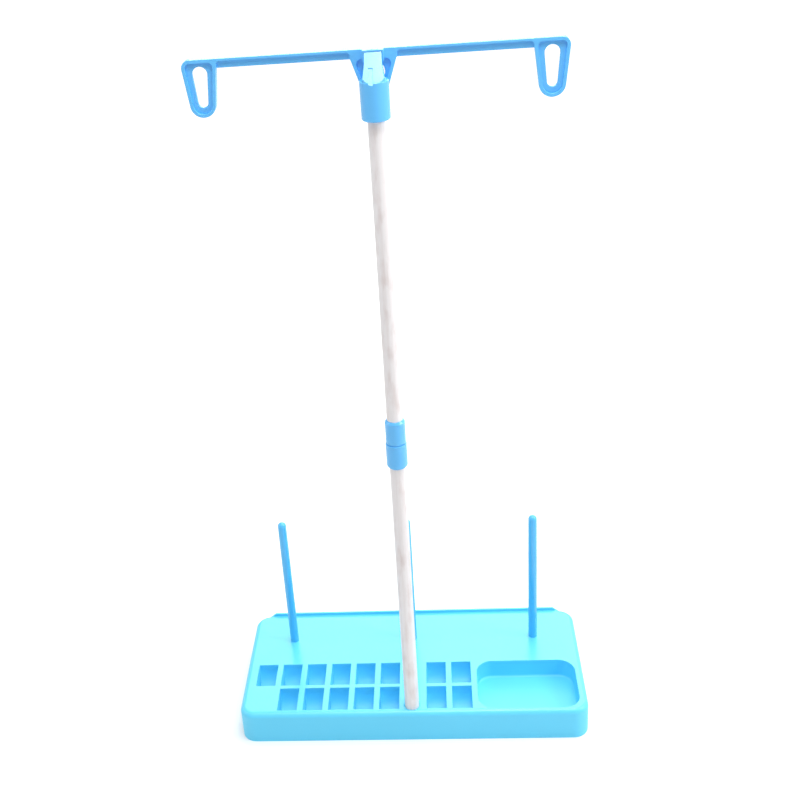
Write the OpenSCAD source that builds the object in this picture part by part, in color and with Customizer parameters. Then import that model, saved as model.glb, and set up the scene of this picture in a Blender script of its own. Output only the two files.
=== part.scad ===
// Three-spool thread rack: a moulded base with bobbin slots and a notions tray,
// three spool pins, and a two-piece wooden mast that carries a thread guide bar.
// Millimetres. X runs along the base, the front is towards -Y and Z is up.
// The origin is the middle of the base's footprint, on the table.

/* [Base] */
// Width of the base
base_w = 250; // [246:1:300]
// Depth of the base, front to back
base_d = 115; // [114:1:130]
// Height of the base
base_h = 25; // [22:1:32]
// Corner radius of the base seen from above
base_corner_r = 11; // [9:0.5:16]
// Radius of the rounded edge round the top face
base_edge_r = 4; // [2.5:0.5:5]
// Thickness of the base's outer walls
base_wall = 2.4; // [1.8:0.2:3]
// Thickness of the top plate
top_plate_t = 3; // [2:0.5:4]
// Length of the low lip along the back edge, at its foot
lip_len = 236; // [180:4:240]
// Height of the lip above the top face
lip_h = 2.2; // [1:0.2:4]
// Thickness of the lip
lip_t = 1.4; // [1:0.2:2.4]
// Length of the slope at each end of the lip
lip_slope = 8; // [4:1:12]

/* [Bobbin slots] */
// Width of a slot, across the bobbin
slot_w = 14; // [12:0.5:15]
// Length of a slot, front to back
slot_d = 23; // [21:0.5:24]
// Depth of the straight wall above the rounded cradle
slot_straight = 3.5; // [2:0.5:5]
// Distance from one slot to the next
slot_pitch = 18.5; // [18:0.25:19]
// Distance between the two rows
row_pitch = 26.5; // [26:0.5:27.5]
// Back edge of the back row
back_row_y = -3.3; // [-5:0.1:-2]
// Left edge of the first slot, measured from the middle of the base
first_slot_x = -116; // [-117:0.5:-115]
// Slots in the back row, left of the mast
back_left_slots = 6; // [1:1:6]
// Slots in the front row, left of the mast, starting under the second
front_left_slots = 5; // [1:1:5]
// Left edge of the first slot to the right of the mast
right_slot_x = 10.5; // [10:0.5:11]
// Columns of slots right of the mast
right_slots = 2; // [1:1:2]
// Thickness of the moulded walls round slots, tray and sockets
pocket_wall = 1.5; // [1.2:0.1:1.7]

/* [Notions tray] */
// Width of the tray opening
tray_w = 71.6; // [60:0.2:72]
// Depth of the tray opening, front to back
tray_d = 51; // [40:0.5:52]
// Distance of the tray's middle to the right of the base's middle
tray_x = 83.4; // [83:0.1:83.6]
// Corner radius of the tray
tray_r = 12; // [8:0.5:16]
// Depth of the tray below the top face
tray_depth = 15; // [10:0.5:17]
// Radius between the tray's wall and floor
tray_floor_r = 1.8; // [1:0.2:4]

/* [Spool pins] */
// Distance of the outer pins from the middle one
pin_spacing = 92; // [70:1:100]
// Distance of the pins behind the middle of the base
pin_y = 26; // [20:0.5:34]
// Diameter of a pin
pin_d = 6.4; // [6.2:0.1:7]
// Diameter at the tip, below the dome
pin_tip_d = 6.2; // [5:0.1:6.2]
// Height of a pin above the top face
pin_h = 109; // [80:1:140]
// Length of the stub that plugs into the base
pin_seat = 17; // [10:1:18]
// Diameter of the stub
stub_d = 5.2; // [4:0.1:5.6]

/* [Mast] */
// Distance of the mast in front of the middle of the base
mast_front = 49; // [47:0.5:50]
// Diameter of the wooden dowels
dowel_d = 10; // [9:0.5:10]
// Height of the parting line of the coupling above the table
coupling_z = 241.1; // [180:1:300]
// Length of the coupling's lower half
lower_sleeve_h = 17.4; // [16:0.2:30]
// Diameter of the coupling's lower half
lower_sleeve_d = 13.5; // [13:0.1:16]
// Length of the coupling's upper half, without its spigot
upper_sleeve_h = 16.8; // [12:0.2:30]
// Diameter of the coupling's upper half
upper_sleeve_d = 12.8; // [12.4:0.1:15]
// Diameter of the spigot that plugs into the lower half
spigot_d = 9; // [7:0.1:9.6]
// Length of the spigot
spigot_len = 7; // [5:0.5:8]
// Running clearance round the spigot, on the radius
spigot_gap = 0.05; // [0.02:0.01:0.1]

/* [Guide collar] */
// Height of the collar's lower edge above the table
collar_z = 447; // [380:1:480]
// Height of the collar
collar_h = 22; // [18:0.2:30]
// Diameter of the collar at its top
collar_d = 16.6; // [15:0.1:16.8]
// Diameter of the collar at its lower edge
collar_foot_d = 16.4; // [14:0.1:16.6]
// Width of the sloping tongue where it leaves the collar
tongue_foot_w = 12.5; // [11:0.1:13]
// Width of the tongue inside the guide bar's clip
tongue_tip_w = 9.8; // [8:0.1:10]

/* [Guide bar] */
// Overall length of the guide bar
guide_w = 215; // [160:1:230]
// Height of the guide bar above the collar's top face
guide_rise = 15; // [14:0.2:20]
// Height of the bar between the loops
bar_h = 5.4; // [4:0.2:8]
// Thickness of the guide bar, front to back
guide_t = 6; // [4:0.5:6.5]
// Thickness of the thin web inside the rims
web_t = 2.5; // [1.5:0.1:3]
// Width of the raised rims
rim_w = 2; // [1.4:0.1:2.4]
// Height of the flange along the top of the bar
flange_h = 1.5; // [1:0.1:2.5]
// Width of an end loop at its top
loop_w = 19.6; // [17:0.2:24]
// Height of an end loop
loop_h = 32.4; // [26:0.2:40]
// Width of the rounded foot of an end loop
loop_foot_w = 14.9; // [12:0.1:16]
// Width of the thread hole at its top
hole_w = 8.5; // [6:0.1:9]
// Width of the thread hole at its foot
hole_foot_w = 5.8; // [4.5:0.1:6]
// Height of the thread hole
hole_h = 22.8; // [14:0.2:23]
// Lean of the middle loop's sides, in degrees
middle_lean = 18; // [12:1:22]
// Width of the rounded foot of the middle loop
middle_foot_w = 12.8; // [12:0.2:15]
// Height of the middle loop
middle_h = 30.4; // [28:0.2:34]
// Width of the middle thread hole at its top
middle_hole_w = 12; // [9:0.2:12]
// Width of the middle thread hole at its foot
middle_hole_foot_w = 5.2; // [4.5:0.1:6]

/* [Hidden] */

$fn = 96;
eps = 0.01;
plastic = [0.36, 0.78, 0.96];
wood = [0.93, 0.89, 0.85];

// Base
slot_depth = slot_straight + slot_d / 2;
cavity_h = base_h - top_plate_t;
cavity_edge_r = 2;
rib_t = 1.6;
rib_h = 12;
socket_floor_t = 2;
front_row_y = back_row_y - row_pitch;
tray_lead = 0.2;
tray_y = back_row_y + tray_lead - tray_d / 2;

// Spool pins
pin_boss_r = stub_d / 2 + 2.4;
pin_taper_len = 28;
pin_floor_z = base_h - pin_seat;
stub_chamfer = 0.5;

// Mast
mast_y = -mast_front;
mast_boss_r = 7.5;
mast_floor_z = 3;
socket_lead_in = 0.8;
dowel_chamfer = 0.6;
sleeve_socket = 9.3;
lower_sleeve_foot = [1.2, 1.6];
lower_sleeve_rim = 0.3;
upper_sleeve_foot = 0.5;
upper_sleeve_mouth = [1.1, 1.6];
spigot_chamfer = 0.5;
spigot_end_gap = 0.6;
lower_dowel_top = coupling_z - lower_sleeve_h + sleeve_socket;
parting_gap = 0.05;
upper_sleeve_z = coupling_z + parting_gap;
upper_dowel_z = upper_sleeve_z + 2.4;
collar_socket = 17;
upper_dowel_top = collar_z + collar_socket;

// Guide collar and its tongue
collar_top = collar_z + collar_h;
collar_foot_chamfer = 0.8;
collar_rim_chamfer = 0.6;
tongue_t = 4;
tongue_toe = 1.4;
tongue_root = 1;
tongue_side_cut = 0.3;
notch_w = 2.4;
notch_x = -2.7;
notch_depth = 1.6;
notch_angle = 42;
lug_w = 5.6;
lug_d = 2.2;
lug_h = 1.2;
dimple_d = 1.1;
dimple_depth = 0.5;

// Guide bar
guide_top = collar_top + guide_rise;
guide_clear = 0.15;
guide_front_y = mast_y + collar_d / 2 + guide_clear;
recess_t = (guide_t - web_t) / 2;
bar_bottom = guide_top - bar_h;
loop_x = guide_w / 2 - loop_w / 2;
loop_corner_r = 4.6;
hole_drop = 4.2;
middle_foot_r = middle_foot_w / 2;
middle_foot_z = middle_foot_r - middle_h;
middle_hole_drop = 6.8;
middle_hole_lift = 1.5;
middle_field_corner_r = 3;
bar_field_corner_r = 2;
bar_field_shoulder = 0.3;
clip_t = 1;
clip_reach = 4;
clip_h = 6.4;
clip_gap = 0.1;
tongue_top = guide_top - clip_t - clip_gap;

// A slab with round corners and a rounded edge round its top.
module rounded_slab(w, d, h, corner_r, edge_r) {
    for (sx = [-1, 1], sy = [-1, 1])
        translate([sx * (w / 2 - corner_r), sy * (d / 2 - corner_r), 0])
            rotate_extrude()
                half_section(corner_r, h, edge_r);
    slab_run(w - 2 * corner_r, d, h, edge_r);
    rotate([0, 0, 90])
        slab_run(d - 2 * corner_r, w, h, edge_r);
}

// Half the section of a slab, from its axis out to reach, with the outer top edge rounded.
module half_section(reach, h, edge_r) {
    square([reach, h - edge_r]);
    square([reach - edge_r, h]);
    intersection() {
        translate([reach - edge_r, h - edge_r])
            circle(edge_r);
        square([reach, h]);
    }
}

// A straight run of the slab: both top edges rounded, length along X.
module slab_run(length, width, h, edge_r) {
    rotate([90, 0, 90])
        translate([0, 0, -length / 2])
            linear_extrude(length) {
                half_section(width / 2, h, edge_r);
                mirror([1, 0])
                    half_section(width / 2, h, edge_r);
            }
}

// Plan outline of a slab with round corners.
module plan_outline(w, d, corner_r) {
    square([w - 2 * corner_r, d], center = true);
    square([w, d - 2 * corner_r], center = true);
    for (sx = [-1, 1], sy = [-1, 1])
        translate([sx * (w / 2 - corner_r), sy * (d / 2 - corner_r)])
            circle(corner_r);
}

// Places its children at the front left corner of every bobbin slot, on the top face.
module each_slot() {
    for (i = [0 : back_left_slots - 1])
        translate([first_slot_x + i * slot_pitch, back_row_y - slot_d, base_h])
            children();
    for (i = [1 : front_left_slots])
        translate([first_slot_x + i * slot_pitch, front_row_y - slot_d, base_h])
            children();
    for (i = [0 : right_slots - 1], y = [back_row_y, front_row_y])
        translate([right_slot_x + i * slot_pitch, y - slot_d, base_h])
            children();
}

// A slot for one bobbin standing on its edge: straight walls over a half-round cradle.
// wall grows it on every side to make the moulded pocket seen from below.
module slot_form(wall, above) {
    r = slot_d / 2;
    translate([-wall, 0, 0])
        rotate([90, 0, 90])
            linear_extrude(slot_w + 2 * wall) {
                translate([-wall, -slot_straight])
                    square([slot_d + 2 * wall, slot_straight + above]);
                intersection() {
                    translate([r, -slot_straight])
                        circle(r + wall);
                    translate([-wall, -slot_depth - wall])
                        square([slot_d + 2 * wall, r + wall]);
                }
            }
}

// The tray's hollow: upright walls, round corners and a rounded edge round its floor.
module tray_form(wall, above) {
    translate([tray_x, tray_y, base_h + above])
        mirror([0, 0, 1])
            rounded_slab(tray_w + 2 * wall, tray_d + 2 * wall, tray_depth + wall + above,
                         tray_r + wall, tray_floor_r + wall);
}

// Side view of the lip from the foot of the rounded edge up to height h, sloped at both ends.
module lip_side(h) {
    run = lip_slope * h / (base_edge_r + lip_h);
    polygon([[-lip_len / 2, 0], [lip_len / 2, 0], [lip_len / 2 - run, h], [-lip_len / 2 + run, h]]);
}

// Thin lip along the back edge, on a foot that squares off the rounded edge under it.
module rear_lip() {
    intersection() {
        translate([0, base_d / 2, base_h - base_edge_r])
            rotate([90, 0, 0]) {
                linear_extrude(base_edge_r)
                    lip_side(base_edge_r);
                linear_extrude(lip_t)
                    lip_side(base_edge_r + lip_h);
            }
        linear_extrude(base_h + 2 * lip_h)
            plan_outline(base_w, base_d, base_corner_r);
    }
}

// Sockets and stiffening ribs that hang under the top plate.
module underside_structure() {
    rib_z = cavity_h - rib_h;
    rib_start_y = back_row_y - slot_d / 2;
    for (x = [-pin_spacing, 0, pin_spacing]) {
        translate([x, pin_y, pin_floor_z - socket_floor_t])
            cylinder(r = pin_boss_r, h = cavity_h - pin_floor_z + socket_floor_t + eps);
        translate([x - rib_t / 2, rib_start_y, rib_z])
            cube([rib_t, base_d / 2 - base_wall - rib_start_y + eps, rib_h + eps]);
    }
    translate([-base_w / 2 + base_wall - eps, pin_y - rib_t / 2, rib_z])
        cube([base_w - 2 * base_wall + 2 * eps, rib_t, rib_h + eps]);
    translate([0, mast_y, mast_floor_z - socket_floor_t])
        cylinder(r = mast_boss_r, h = cavity_h - mast_floor_z + socket_floor_t + eps);
}

module base_tray() {
    row_web = row_pitch - slot_d;
    color(plastic)
        difference() {
            union() {
                difference() {
                    rounded_slab(base_w, base_d, base_h, base_corner_r, base_edge_r);
                    translate([0, 0, -1])
                        rounded_slab(base_w - 2 * base_wall, base_d - 2 * base_wall, cavity_h + 1,
                                     base_corner_r - base_wall, cavity_edge_r);
                }
                rear_lip();
                underside_structure();
                each_slot()
                    slot_form(pocket_wall, -1);
                translate([first_slot_x, front_row_y, base_h - slot_depth])
                    cube([right_slot_x + right_slots * slot_pitch - first_slot_x, row_web, slot_depth - 1]);
                tray_form(pocket_wall, -1);
            }
            each_slot()
                slot_form(0, 1);
            tray_form(0, 1);
            translate([0, mast_y, mast_floor_z])
                cylinder(d = dowel_d, h = base_h);
            translate([0, mast_y, base_h - socket_lead_in])
                cylinder(r1 = dowel_d / 2, r2 = dowel_d / 2 + 2 * socket_lead_in, h = 2 * socket_lead_in);
            for (x = [-pin_spacing, 0, pin_spacing])
                translate([x, pin_y, pin_floor_z])
                    cylinder(d = stub_d, h = base_h);
        }
}

// A moulded pin on a thinner stub, with a domed tip, gently tapered over its upper part.
module spool_pin(x) {
    tip_r = pin_tip_d / 2;
    root_r = pin_d / 2;
    stub_r = stub_d / 2;
    dome_z = base_h + pin_h - tip_r;
    color(plastic)
        translate([x, pin_y, 0])
            rotate_extrude() {
                polygon([[0, pin_floor_z], [stub_r - stub_chamfer, pin_floor_z],
                         [stub_r, pin_floor_z + stub_chamfer], [stub_r, base_h], [root_r, base_h],
                         [root_r, dome_z - pin_taper_len], [tip_r, dome_z], [0, dome_z]]);
                intersection() {
                    translate([0, dome_z])
                        circle(tip_r);
                    translate([0, dome_z - eps])
                        square(pin_d);
                }
            }
}

module spool_pin_left() {
    spool_pin(-pin_spacing);
}

module spool_pin_centre() {
    spool_pin(0);
}

module spool_pin_right() {
    spool_pin(pin_spacing);
}

// A turned wooden dowel with its two ends broken by a small chamfer.
module dowel(z_foot, z_head) {
    r = dowel_d / 2;
    c = dowel_chamfer;
    color(wood)
        translate([0, mast_y, 0])
            rotate_extrude()
                polygon([[0, z_foot], [r - c, z_foot], [r, z_foot + c],
                         [r, z_head - c], [r - c, z_head], [0, z_head]]);
}

module lower_dowel() {
    dowel(mast_floor_z, lower_dowel_top);
}

module upper_dowel() {
    dowel(upper_dowel_z, upper_dowel_top);
}

// Lower half of the coupling: takes the lower dowel from below and the spigot from above.
module lower_sleeve() {
    r = lower_sleeve_d / 2;
    foot = coupling_z - lower_sleeve_h;
    chamfer = lower_sleeve_foot;
    bore_r = spigot_d / 2 + spigot_gap;
    bore_floor = coupling_z - spigot_len - spigot_end_gap;
    color(plastic)
        translate([0, mast_y, 0])
            rotate_extrude()
                difference() {
                    polygon([[0, foot], [r - chamfer[0], foot], [r, foot + chamfer[1]],
                             [r, coupling_z - lower_sleeve_rim], [r - lower_sleeve_rim, coupling_z],
                             [0, coupling_z]]);
                    translate([0, foot - 1])
                        square([dowel_d / 2, sleeve_socket + 1]);
                    translate([0, bore_floor])
                        square([bore_r, spigot_len + 2]);
                }
}

// Upper half of the coupling: a cup for the upper dowel, with the spigot under its shoulder.
// Its mouth slopes in to meet the dowel.
module upper_sleeve() {
    r = upper_sleeve_d / 2;
    top = coupling_z + upper_sleeve_h;
    spigot_r = spigot_d / 2;
    spigot_z = coupling_z - spigot_len;
    mouth = upper_sleeve_mouth;
    color(plastic)
        translate([0, mast_y, 0])
            rotate_extrude()
                difference() {
                    polygon([[0, spigot_z], [spigot_r - spigot_chamfer, spigot_z],
                             [spigot_r, spigot_z + spigot_chamfer], [spigot_r, upper_sleeve_z],
                             [r - upper_sleeve_foot, upper_sleeve_z],
                             [r, upper_sleeve_z + upper_sleeve_foot],
                             [r, top - mouth[1]], [r - mouth[0], top], [0, top]]);
                    translate([0, upper_dowel_z])
                        square([dowel_d / 2, top - upper_dowel_z + 1]);
                }
}

// Sloping tongue on the collar's top that carries the guide bar in its clip.
module tongue() {
    toe_y = mast_y - collar_d / 2 + tongue_toe;
    brow_y = guide_front_y - clip_reach + 2 * clip_gap;
    root_z = collar_top - tongue_root;
    tip_w = tongue_tip_w / 2;
    foot_w = tongue_foot_w / 2;
    intersection() {
        rotate([90, 0, 90])
            translate([0, 0, -collar_d / 2])
                linear_extrude(collar_d)
                    polygon([[toe_y, root_z], [toe_y, collar_top], [brow_y, tongue_top],
                             [guide_front_y, tongue_top], [guide_front_y, tongue_top - tongue_t],
                             [mast_y, collar_top], [mast_y, root_z]]);
        translate([0, guide_front_y, 0])
            rotate([90, 0, 0])
                linear_extrude(collar_d + 1)
                    polygon([[-foot_w, root_z], [foot_w, root_z], [foot_w, collar_top],
                             [tip_w, bar_bottom - 1], [tip_w, tongue_top], [-tip_w, tongue_top],
                             [-tip_w, bar_bottom - 1], [-foot_w, collar_top]]);
        union() {
            translate([0, mast_y, collar_z])
                cylinder(r = collar_d / 2 - tongue_side_cut, h = 2 * collar_h);
            translate([-collar_d / 2, mast_y, collar_z])
                cube([collar_d, collar_d, 2 * collar_h]);
        }
    }
}

// Lug on the tongue that snaps through the clip and stands proud of the bar.
module lug() {
    translate([-lug_w / 2, guide_front_y - clip_reach / 2 - lug_d / 2, tongue_top - eps])
        difference() {
            cube([lug_w, lug_d, lug_h + eps]);
            translate([lug_w / 2 - dimple_d / 2, lug_d / 2, lug_h - dimple_depth])
                cylinder(d = dimple_d, h = 1, $fn = 24);
        }
}

module guide_collar() {
    r = collar_d / 2;
    foot_r = collar_foot_d / 2;
    foot_c = collar_foot_chamfer;
    rim_c = collar_rim_chamfer;
    color(plastic)
        difference() {
            union() {
                translate([0, mast_y, 0])
                    rotate_extrude()
                        polygon([[0, collar_z], [foot_r - foot_c, collar_z], [foot_r, collar_z + foot_c],
                                 [r, collar_top - rim_c], [r - rim_c, collar_top], [0, collar_top]]);
                tongue();
                lug();
            }
            translate([0, mast_y, collar_z - 1])
                cylinder(d = dowel_d, h = collar_socket + 1);
            translate([notch_x, mast_y - r + notch_depth, collar_top])
                rotate([-notch_angle, 0, 0])
                    translate([0, -r, -r])
                        cube([notch_w, r, 2 * r]);
        }
}

// Points along an arc, from one angle to another.
function arc(centre, r, from, to) =
    let (steps = ceil(abs(to - from) / 7.5))
    [for (i = [0 : steps]) centre + r * [cos(from + (to - from) * i / steps), sin(from + (to - from) * i / steps)]];

// Angle at which a straight side leaves a foot disc for a shoulder disc to its upper right.
function side_angle(shoulder, shoulder_r, foot, foot_r) =
    let (rise = shoulder - foot)
    atan2(rise[1], rise[0]) - acos((foot_r - shoulder_r) / norm(rise));

// Outline with two round shoulders over one round foot and straight sides between them.
function shield(shoulder, shoulder_r, foot, foot_r) =
    let (side = side_angle(shoulder, shoulder_r, foot, foot_r))
    concat(arc(shoulder, shoulder_r, side, 90),
           arc([-shoulder[0], shoulder[1]], shoulder_r, 90, 180 - side),
           arc(foot, foot_r, 180 - side, 360 + side));

// Outline of a hole that narrows from one round end down to another.
function tapered_hole(top, top_r, foot, foot_r) =
    let (side = side_angle(top, top_r, foot, foot_r))
    concat(arc(top, top_r, side, 180 - side), arc(foot, foot_r, 180 - side, 360 + side));

// The guide's outlines are drawn flat, with zero at the top of the bar.
// An end loop, drawn in by inset.
module end_loop(inset) {
    polygon(shield([loop_w / 2 - loop_corner_r, -loop_corner_r], loop_corner_r - inset,
                   [0, loop_foot_w / 2 - loop_h], loop_foot_w / 2 - inset));
}

// Half width of the middle loop at a height above its foot's centre.
function middle_half_w(foot_r, rise) = (foot_r + rise * sin(middle_lean)) / cos(middle_lean);

// The middle loop, widening up into the bar.
module middle_loop() {
    top_w = middle_half_w(middle_foot_r, -middle_foot_z);
    polygon(concat(arc([0, middle_foot_z], middle_foot_r, 180 + middle_lean, 360 - middle_lean),
                   [[top_w, 0], [-top_w, 0]]));
}

// The sunk field inside the middle loop's rim.
module middle_field() {
    corner_r = middle_field_corner_r;
    corner_z = -bar_h - corner_r;
    field_r = middle_foot_r - rim_w;
    corner_x = middle_half_w(field_r - corner_r, corner_z - middle_foot_z);
    polygon(shield([corner_x, corner_z], corner_r, [0, middle_foot_z], field_r));
}

// The sunk field under the flange, from the middle loop to an end loop, open downwards.
module bar_field() {
    corner_r = bar_field_corner_r;
    from_x = middle_half_w(middle_foot_r, -bar_h - middle_foot_z) + bar_field_shoulder;
    to_x = loop_x - loop_w / 2 - bar_field_shoulder;
    corner_z = -flange_h - corner_r;
    polygon(concat([[from_x, -bar_h - 1], [to_x, -bar_h - 1]],
                   arc([to_x - corner_r, corner_z], corner_r, 0, 90),
                   arc([from_x + corner_r, corner_z], corner_r, 90, 180)));
}

module guide_outline() {
    translate([-loop_x, -bar_h])
        square([2 * loop_x, bar_h]);
    for (s = [-1, 1])
        translate([s * loop_x, 0])
            end_loop(0);
    middle_loop();
}

module guide_fields() {
    middle_field();
    for (s = [-1, 1])
        translate([s * loop_x, 0])
            end_loop(rim_w);
    bar_field();
    mirror([1, 0])
        bar_field();
}

module guide_holes() {
    end_top = [0, -hole_drop - hole_w / 2];
    end_foot = [0, -hole_drop - hole_h + hole_foot_w / 2];
    middle_top = [0, -middle_hole_drop - middle_hole_w / 2];
    middle_foot = [0, middle_foot_z + middle_hole_lift];
    polygon(tapered_hole(middle_top, middle_hole_w / 2, middle_foot, middle_hole_foot_w / 2));
    for (s = [-1, 1])
        translate([s * loop_x, 0])
            polygon(tapered_hole(end_top, hole_w / 2, end_foot, hole_foot_w / 2));
}

// Stands a flat drawing up in the guide's plane: depth runs back from its front face.
module stand_up(depth) {
    translate([0, guide_front_y + depth, guide_top])
        rotate([90, 0, 0])
            linear_extrude(depth)
                children();
}

// Box on the bar's front that the tongue plugs into, with a window for its lug.
module clip() {
    gap = tongue_tip_w + 2 * clip_gap;
    window = [lug_w + 2 * clip_gap, lug_d + 2 * clip_gap];
    front_y = guide_front_y - clip_reach;
    for (s = [-1, 1])
        translate([s * (gap + clip_t) / 2 - clip_t / 2, front_y, guide_top - clip_h])
            cube([clip_t, clip_reach + eps, clip_h]);
    difference() {
        translate([-gap / 2 - eps, front_y, guide_top - clip_t])
            cube([gap + 2 * eps, clip_reach + eps, clip_t]);
        translate([-window[0] / 2, front_y + (clip_reach - window[1]) / 2, guide_top - 2 * clip_t])
            cube([window[0], window[1], 3 * clip_t]);
    }
}

module guide_bar() {
    color(plastic)
        union() {
            difference() {
                stand_up(guide_t)
                    guide_outline();
                translate([0, -eps, 0])
                    stand_up(recess_t + eps)
                        guide_fields();
                translate([0, guide_t - recess_t, 0])
                    stand_up(recess_t + eps)
                        guide_fields();
                translate([0, -1, 0])
                    stand_up(guide_t + 2)
                        guide_holes();
            }
            clip();
        }
}

base_tray();
spool_pin_left();
spool_pin_centre();
spool_pin_right();
lower_dowel();
lower_sleeve();
upper_sleeve();
upper_dowel();
guide_collar();
guide_bar();
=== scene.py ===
"""A three-spool thread rack in light blue plastic and pale wood, on a white table."""
import math

import bmesh
import bpy
from mathutils import Matrix, Vector


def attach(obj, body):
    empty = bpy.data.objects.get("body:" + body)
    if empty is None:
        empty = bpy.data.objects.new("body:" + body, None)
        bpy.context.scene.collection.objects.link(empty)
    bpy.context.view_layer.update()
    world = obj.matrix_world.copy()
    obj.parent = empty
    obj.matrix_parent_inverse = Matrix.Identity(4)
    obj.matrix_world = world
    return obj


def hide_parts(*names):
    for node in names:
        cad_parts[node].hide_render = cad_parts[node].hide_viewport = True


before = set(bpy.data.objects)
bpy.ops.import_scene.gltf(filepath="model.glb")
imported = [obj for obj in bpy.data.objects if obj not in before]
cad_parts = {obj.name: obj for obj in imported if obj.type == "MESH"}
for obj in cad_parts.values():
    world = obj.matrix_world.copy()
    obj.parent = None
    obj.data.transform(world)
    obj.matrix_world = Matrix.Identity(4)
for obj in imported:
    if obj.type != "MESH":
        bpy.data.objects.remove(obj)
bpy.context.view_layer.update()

# The base tray. One glossy injection moulding in light sky blue, open underneath.
# The mould rounds every edge a little, so the rims of the slots and the tray catch
# a thin line of light. The pockets are duller than the polished top.
BASE_EDGE = 0.00045
BASE_TOP = 0.025
SKY_BLUE = (0.120, 0.680, 0.985, 1.0)
BASE_SHEEN = 0.25
BASE_RELIEF = 0.00004
POCKET_SPAN = (0.0235, 0.0247)
POCKET_DULLNESS = 0.22


def put(tree, kind, sockets=None, **settings):
    """Adds a shader node, with its settings, and values or links for its sockets."""
    node = tree.nodes.new("ShaderNode" + kind)
    for name, value in settings.items():
        setattr(node, name, value)
    for name, value in (sockets or {}).items():
        if isinstance(value, bpy.types.NodeSocket):
            tree.links.new(value, node.inputs[name])
        else:
            node.inputs[name].default_value = value
    return node


def calc(tree, operation, first, second, **settings):
    """Adds a Math node for two numbers or links, and gives its result."""
    return put(tree, "Math", {0: first, 1: second}, operation=operation, **settings).outputs[0]


def new_group(name, inputs, outputs):
    """An empty shader group with those sockets, and its two end nodes."""
    group = bpy.data.node_groups.new(name, "ShaderNodeTree")
    for label, kind, value in inputs:
        socket = group.interface.new_socket(label, in_out="INPUT", socket_type=kind)
        socket.default_value = value
    for label, kind in outputs:
        group.interface.new_socket(label, in_out="OUTPUT", socket_type=kind)
    return group, group.nodes.new("NodeGroupInput"), group.nodes.new("NodeGroupOutput")


# About how often each unevenness of the plastic repeats in a metre, and how much of
# its height is the finest one.
DRIFT_SCALE = 14.0
SMEAR_SCALE = 48.0
SINK_SCALE = 75.0
GRAIN_SCALE = 1900.0
GRAIN_SHARE = 0.035


def moulded_skin():
    """Shader group for moulded plastic: tone drift, sheen change and a faint unevenness."""
    group, start, end = new_group(
        "moulded_skin",
        [("Colour", "NodeSocketColor", (1, 1, 1, 1)),
         ("Tone drift", "NodeSocketFloat", 0.04),
         ("Sheen", "NodeSocketFloat", 0.2),
         ("Sheen change", "NodeSocketFloat", 0.08)],
        [("Colour", "NodeSocketColor"), ("Roughness", "NodeSocketFloat"), ("Height", "NodeSocketFloat")])
    place = put(group, "TexCoord").outputs["Object"]
    drift = put(group, "TexNoise", {"Vector": place, "Scale": DRIFT_SCALE, "Detail": 2.0}).outputs["Fac"]
    centred = calc(group, "SUBTRACT", drift, 0.5)
    swing = calc(group, "MULTIPLY", centred, start.outputs["Tone drift"])
    value = calc(group, "ADD", swing, 1.0)
    tone = put(group, "HueSaturation", {"Color": start.outputs["Colour"], "Value": value})
    handled = put(group, "TexNoise", {"Vector": place, "Scale": SMEAR_SCALE, "Detail": 4.0}).outputs["Fac"]
    smear = calc(group, "SUBTRACT", handled, 0.5)
    change = calc(group, "MULTIPLY", smear, start.outputs["Sheen change"])
    sheen = calc(group, "ADD", change, start.outputs["Sheen"])
    sink = put(group, "TexNoise", {"Vector": place, "Scale": SINK_SCALE, "Detail": 1.0}).outputs["Fac"]
    grain = put(group, "TexNoise", {"Vector": place, "Scale": GRAIN_SCALE, "Detail": 2.0}).outputs["Fac"]
    fine = calc(group, "MULTIPLY", grain, GRAIN_SHARE)
    height = calc(group, "ADD", sink, fine)
    group.links.new(tone.outputs["Color"], end.inputs["Colour"])
    group.links.new(sheen, end.inputs["Roughness"])
    group.links.new(height, end.inputs["Height"])
    return group


MOULDED_SKIN = moulded_skin()
PLASTIC_IOR = 1.57


def moulded_plastic(name, colour, sheen, relief):
    """Glossy plastic with the moulded skin. relief is the depth of its unevenness in metres."""
    material = bpy.data.materials.new(name)
    material.use_nodes = True
    tree = material.node_tree
    shader = tree.nodes["Principled BSDF"]
    skin = put(tree, "Group", node_tree=MOULDED_SKIN)
    skin.inputs["Colour"].default_value = colour
    skin.inputs["Sheen"].default_value = sheen
    bump = put(tree, "Bump", {"Height": skin.outputs["Height"], "Distance": relief, "Strength": 1.0})
    tree.links.new(skin.outputs["Colour"], shader.inputs["Base Color"])
    tree.links.new(skin.outputs["Roughness"], shader.inputs["Roughness"])
    tree.links.new(bump.outputs["Normal"], shader.inputs["Normal"])
    shader.inputs["IOR"].default_value = PLASTIC_IOR
    return material


# Vertices within the gap are merged, and faces within the flat angle joined. Edges over
# the rounded angle are rounded, and any left over the sharp angle look sharp.
WELD_GAP = 2e-6
FLAT_ANGLE = math.radians(0.3)
ROUNDED_ANGLE = math.radians(28)
SHARP_ANGLE = math.radians(40)
ROUNDING_STEPS = 3
LEVEL_GAP = 1e-5


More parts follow.
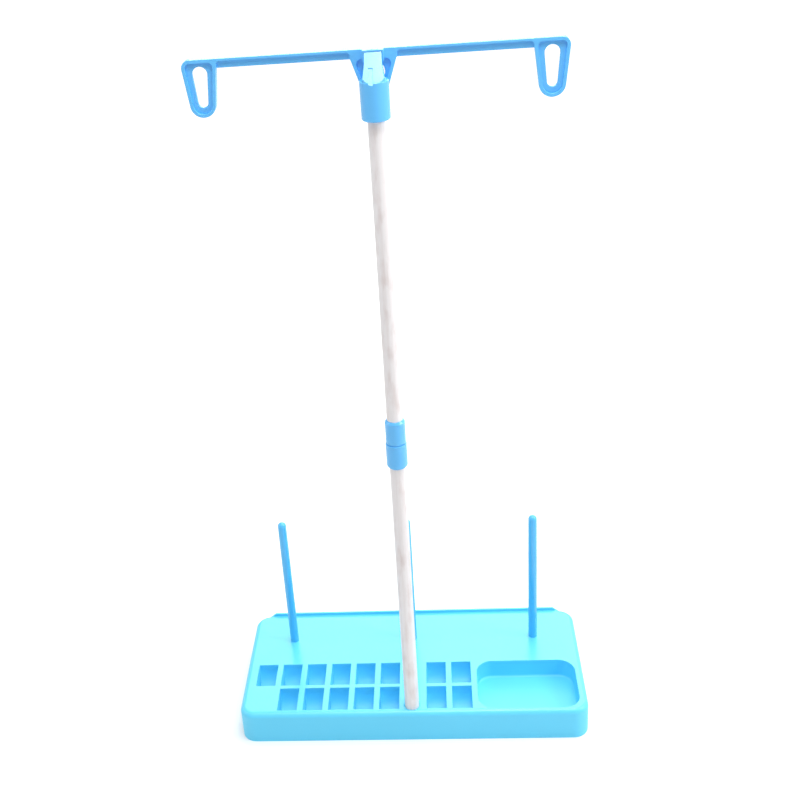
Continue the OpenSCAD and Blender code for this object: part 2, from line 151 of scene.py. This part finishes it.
def moulded_piece(node, body, edge, material, level=None):
    """Stands for a moulded CAD piece, with its outer edges rounded to a radius of edge.

    With level, only the edges at that height are rounded.
    """
    piece = bpy.data.objects.new(node + "_moulded", bpy.data.meshes.new(node + "_moulded"))
    bpy.context.scene.collection.objects.link(piece)
    form = bmesh.new()
    form.from_mesh(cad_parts[node].data)
    bmesh.ops.remove_doubles(form, verts=form.verts, dist=WELD_GAP)
    bmesh.ops.dissolve_limit(form, angle_limit=FLAT_ANGLE, verts=form.verts, edges=form.edges)
    outer = [e for e in form.edges if e.is_convex and e.calc_face_angle(0) > ROUNDED_ANGLE]
    if level is not None:
        outer = [e for e in outer if all(abs(v.co.z - level) < LEVEL_GAP for v in e.verts)]
    bmesh.ops.bevel(form, geom=outer, offset=edge, offset_type="OFFSET", segments=ROUNDING_STEPS,
                    profile=0.5, affect="EDGES", clamp_overlap=False, loop_slide=False)
    form.to_mesh(piece.data)
    form.free()
    # The normals stored with the solid don't fit the rounded form.
    piece.data.attributes.remove(piece.data.attributes["custom_normal"])
    piece.data.shade_smooth()
    piece.data.set_sharp_from_angle(angle=SHARP_ANGLE)
    piece.modifiers.new("even_shading", "WEIGHTED_NORMAL").keep_sharp = True
    piece.data.materials.clear()
    piece.data.materials.append(material)
    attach(piece, body)
    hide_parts(node)


BASE_PLASTIC = moulded_plastic("sky_blue_base", SKY_BLUE, BASE_SHEEN, BASE_RELIEF)
base_tree = BASE_PLASTIC.node_tree
base_place = put(base_tree, "TexCoord").outputs["Object"]
base_height = put(base_tree, "SeparateXYZ", {"Vector": base_place}).outputs["Z"]
pocket_fade = put(base_tree, "MapRange", {"Value": base_height, "To Min": POCKET_DULLNESS, "To Max": 0.0,
                                          "From Min": POCKET_SPAN[0], "From Max": POCKET_SPAN[1]})
base_shader = base_tree.nodes["Principled BSDF"]
base_sheen = base_shader.inputs["Roughness"].links[0].from_socket
dulled = calc(base_tree, "ADD", base_sheen, pocket_fade.outputs["Result"])
base_tree.links.new(dulled, base_shader.inputs["Roughness"])
moulded_piece("base_tray", "stand", BASE_EDGE, BASE_PLASTIC, level=BASE_TOP)

# The three spool pins. Slim moulded pins, pushed into the base on short stubs.
# They are the same plastic, a little glossier because the mould is polished lengthwise.
PIN_BLUE = (0.075, 0.500, 0.930, 1.0)
PIN_SHEEN = 0.2
PIN_RELIEF = 0.00002
PIN_PLASTIC = moulded_plastic("sky_blue_pins", PIN_BLUE, PIN_SHEEN, PIN_RELIEF)
for side in ("left", "centre", "right"):
    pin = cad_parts["spool_pin_" + side]
    pin.data.materials.clear()
    pin.data.materials.append(PIN_PLASTIC)

# The two dowels of the mast. Plain turned birch, bare and very pale, with a grain
# that runs along them in thin streaks, short pores and a few warmer clouds.
BIRCH_PALE = (0.850, 0.825, 0.830, 1.0)
BIRCH_WARM = (0.640, 0.540, 0.520, 1.0)
BIRCH_RELIEF = 0.00012
BIRCH_FUZZ = 0.3
BIRCH_ROUGHNESS = (0.52, 0.66)
STREAK_WARMTH = 0.22
PORE_WARMTH = 0.25
CLOUD_WARMTH = 0.50


def birch_grain():
    """Shader group for bare birch with its grain along Z: streaks, pores and clouds."""
    group, start, end = new_group(
        "birch_grain",
        [("Pale", "NodeSocketColor", (1, 1, 1, 1)), ("Warm", "NodeSocketColor", (1, 1, 1, 1))],
        [("Colour", "NodeSocketColor"), ("Roughness", "NodeSocketFloat"), ("Height", "NodeSocketFloat")])
    place = put(group, "TexCoord").outputs["Object"]

    def marks(across, along, detail, low, high):
        """Drawn-out noise, repeating across and along so often in a metre: 0 at low, 1 at high."""
        stretched = put(group, "Mapping", {"Vector": place, "Scale": (across, across, along)})
        noise = put(group, "TexNoise", {"Vector": stretched.outputs[0], "Scale": 1.0, "Detail": detail})
        span = put(group, "MapRange", {"Value": noise.outputs["Fac"], "From Min": low, "From Max": high})
        return span.outputs["Result"]

    streaks = marks(across=520.0, along=9.0, detail=4.0, low=0.42, high=0.72)
    pores = marks(across=2600.0, along=90.0, detail=2.0, low=0.60, high=0.74)
    clouds = marks(across=170.0, along=55.0, detail=4.0, low=0.50, high=0.72)
    some_streaks = calc(group, "MULTIPLY", streaks, STREAK_WARMTH)
    some_pores = calc(group, "MULTIPLY", pores, PORE_WARMTH)
    some_clouds = calc(group, "MULTIPLY", clouds, CLOUD_WARMTH)
    grain = calc(group, "ADD", some_streaks, some_pores)
    warmth = calc(group, "ADD", grain, some_clouds, use_clamp=True)
    mix = put(group, "Mix", data_type="RGBA")
    group.links.new(warmth, mix.inputs[0])
    group.links.new(start.outputs["Pale"], mix.inputs[6])
    group.links.new(start.outputs["Warm"], mix.inputs[7])
    rough = put(group, "MapRange", {"Value": streaks, "To Min": BIRCH_ROUGHNESS[0],
                                    "To Max": BIRCH_ROUGHNESS[1]}).outputs["Result"]
    height = calc(group, "SUBTRACT", 1.0, grain)
    group.links.new(mix.outputs[2], end.inputs["Colour"])
    group.links.new(rough, end.inputs["Roughness"])
    group.links.new(height, end.inputs["Height"])
    return group


birch = bpy.data.materials.new("pale_birch")
birch.use_nodes = True
birch_tree = birch.node_tree
birch_shader = birch_tree.nodes["Principled BSDF"]
birch_skin = put(birch_tree, "Group", node_tree=birch_grain())
birch_skin.inputs["Pale"].default_value = BIRCH_PALE
birch_skin.inputs["Warm"].default_value = BIRCH_WARM
birch_bump = put(birch_tree, "Bump", {"Height": birch_skin.outputs["Height"], "Distance": BIRCH_RELIEF})
birch_shader.inputs["Sheen Weight"].default_value = BIRCH_FUZZ
birch_tree.links.new(birch_skin.outputs["Colour"], birch_shader.inputs["Base Color"])
birch_tree.links.new(birch_skin.outputs["Roughness"], birch_shader.inputs["Roughness"])
birch_tree.links.new(birch_bump.outputs["Normal"], birch_shader.inputs["Normal"])
for name in ("lower_dowel", "upper_dowel"):
    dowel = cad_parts[name]
    dowel.data.materials.clear()
    dowel.data.materials.append(birch)

# The coupling. Two moulded sleeves in the rack's blue plastic: the upper one plugs into
# the lower one, so the upper mast turns and lifts off. Their rims leave a fine groove.
SLEEVE_EDGE = 0.00025
FITTING_BLUE = (0.110, 0.500, 0.950, 1.0)
FITTING_SHEEN = 0.24
FITTING_RELIEF = 0.00002
FITTING_PLASTIC = moulded_plastic("sky_blue_fittings", FITTING_BLUE, FITTING_SHEEN, FITTING_RELIEF)
moulded_piece("lower_sleeve", "stand", SLEEVE_EDGE, FITTING_PLASTIC)
moulded_piece("upper_sleeve", "upper_mast", SLEEVE_EDGE, FITTING_PLASTIC)

# The guide collar and its sloping tongue, one moulding pressed on the upper dowel.
# The tongue plugs into the guide bar's clip, and its lug snaps through the top.
COLLAR_EDGE = 0.00012
moulded_piece("guide_collar", "upper_mast", COLLAR_EDGE, FITTING_PLASTIC)

# The guide bar. One thin moulding with raised rims round sunk fields, a flange along
# its top, a thread loop at each end and one behind the collar.
GUIDE_EDGE = 0.0003
moulded_piece("guide_bar", "upper_mast", GUIDE_EDGE, FITTING_PLASTIC)

# The white table and the studio. The table keeps a faint shadow round the rack, and
# its own glow grows outwards until it looks as white as the room. Six soft lamps are
# in front, overhead, behind, at the right, at the left and close above the guide bar.
FLOOR_REACH = 6.0
FLOOR_SIDES = 96
FLOOR_GREY = (0.82, 0.82, 0.82, 1)
FLOOR_ROUGHNESS = 0.6
WHITE = (1, 1, 1, 1)
GLOW_SPAN = (0.3, 1.1)
GLOW_LEVELS = (0.16, 0.72)
floor_mesh = bpy.data.meshes.new("table_top")
floor_form = bmesh.new()
bmesh.ops.create_circle(floor_form, cap_ends=True, radius=FLOOR_REACH, segments=FLOOR_SIDES)
floor_form.to_mesh(floor_mesh)
floor_form.free()
floor = bpy.data.objects.new("table_top", floor_mesh)
bpy.context.scene.collection.objects.link(floor)
floor_white = bpy.data.materials.new("white_table")
floor_white.use_nodes = True
floor_tree = floor_white.node_tree
floor_shader = floor_tree.nodes["Principled BSDF"]
floor_shader.inputs["Base Color"].default_value = FLOOR_GREY
floor_shader.inputs["Roughness"].default_value = FLOOR_ROUGHNESS
floor_shader.inputs["Emission Color"].default_value = WHITE
floor_mesh.materials.append(floor_white)


def seen_or_mirrored(tree):
    """A mask that is 1 for the camera and for reflections, and 0 for all other light."""
    paths = put(tree, "LightPath").outputs
    return calc(tree, "MAXIMUM", paths["Is Camera Ray"], paths["Is Glossy Ray"])


floor_seen = seen_or_mirrored(floor_tree)
floor_place = put(floor_tree, "TexCoord").outputs["Object"]
reach = put(floor_tree, "VectorMath", {0: floor_place}, operation="LENGTH").outputs["Value"]
sweep = put(floor_tree, "MapRange", {"Value": reach, "From Min": GLOW_SPAN[0], "From Max": GLOW_SPAN[1],
                                     "To Min": GLOW_LEVELS[0], "To Max": GLOW_LEVELS[1]})
glow = calc(floor_tree, "MULTIPLY", floor_seen, sweep.outputs["Result"])
floor_tree.links.new(glow, floor_shader.inputs["Emission Strength"])

ROOM_LIGHT = 0.38
room = bpy.data.worlds.new("white_room")
bpy.context.scene.world = room
room.use_nodes = True
room_tree = room.node_tree
room_shader = room_tree.nodes["Background"]
room_shader.inputs["Color"].default_value = WHITE
room_seen = seen_or_mirrored(room_tree)
room_level = put(room_tree, "MapRange", {"Value": room_seen, "To Min": ROOM_LIGHT, "To Max": 1.0})
room_tree.links.new(room_level.outputs["Result"], room_shader.inputs["Strength"])


def softbox(name, place, aim, width, height, watts):
    """A rectangular lamp at place, turned to aim."""
    light = bpy.data.lights.new(name, "AREA")
    light.shape = "RECTANGLE"
    light.size = width
    light.size_y = height
    light.energy = watts
    lamp = bpy.data.objects.new(name, light)
    lamp.location = place
    lamp.rotation_euler = (Vector(aim) - Vector(place)).to_track_quat("-Z", "Y").to_euler()
    bpy.context.scene.collection.objects.link(lamp)


MAST_MIDDLE = (0, -0.05, 0.3)
GUIDE_MIDDLE = (0, -0.05, 0.47)
softbox("key_lamp", place=(0.1, -0.5, 1.45), aim=MAST_MIDDLE, width=0.7, height=0.7, watts=5.8)
softbox("overhead_panel", place=(0.3, 0.3, 1.45), aim=(0, 0, 0), width=0.9, height=0.9, watts=7.4)
softbox("back_panel", place=(0.35, 1.15, 1.0), aim=(0, 0, 0.03), width=1.8, height=0.8, watts=9.8)
softbox("right_lamp", place=(1.15, -0.2, 0.85), aim=MAST_MIDDLE, width=0.5, height=0.5, watts=8.4)
softbox("left_lamp", place=(-1.2, -0.15, 0.7), aim=MAST_MIDDLE, width=0.6, height=0.6, watts=3.0)
softbox("top_lamp", place=(0.05, -0.2, 0.85), aim=GUIDE_MIDDLE, width=0.12, height=0.12, watts=0.7)

# The camera stands where the photograph's did. Its place, angles and focal length in
# pixels were solved from the base, the pins and the mast.
EYE = Vector((0.03163, -0.6916, 0.60328))
TURN = math.radians(-5.638)
DIP = math.radians(26.452)
ROLL = math.radians(-4.768)
FOCAL_PX = 1160.78
CENTRE_PX = (341.35, 386.74)
FRAME_PX = 800.0
SENSOR_MM = 36.0
NEAREST = 0.01
forward = Vector((math.sin(TURN) * math.cos(DIP), math.cos(TURN) * math.cos(DIP), -math.sin(DIP)))
level = Vector((math.cos(TURN), -math.sin(TURN), 0))
upright = level.cross(forward)
across = math.cos(ROLL) * level + math.sin(ROLL) * upright
over = math.cos(ROLL) * upright - math.sin(ROLL) * level
lens = bpy.data.cameras.new("photo_view")
lens.sensor_width = SENSOR_MM
lens.lens = FOCAL_PX / FRAME_PX * SENSOR_MM
lens.shift_x = 0.5 - CENTRE_PX[0] / FRAME_PX
lens.shift_y = CENTRE_PX[1] / FRAME_PX - 0.5
lens.clip_start = NEAREST
camera = bpy.data.objects.new("photo_view", lens)
camera.matrix_world = Matrix((across, over, -forward)).transposed().to_4x4()
camera.location = EYE
bpy.context.scene.collection.objects.link(camera)
bpy.context.scene.camera = camera
bpy.context.scene.view_settings.view_transform = "Standard"
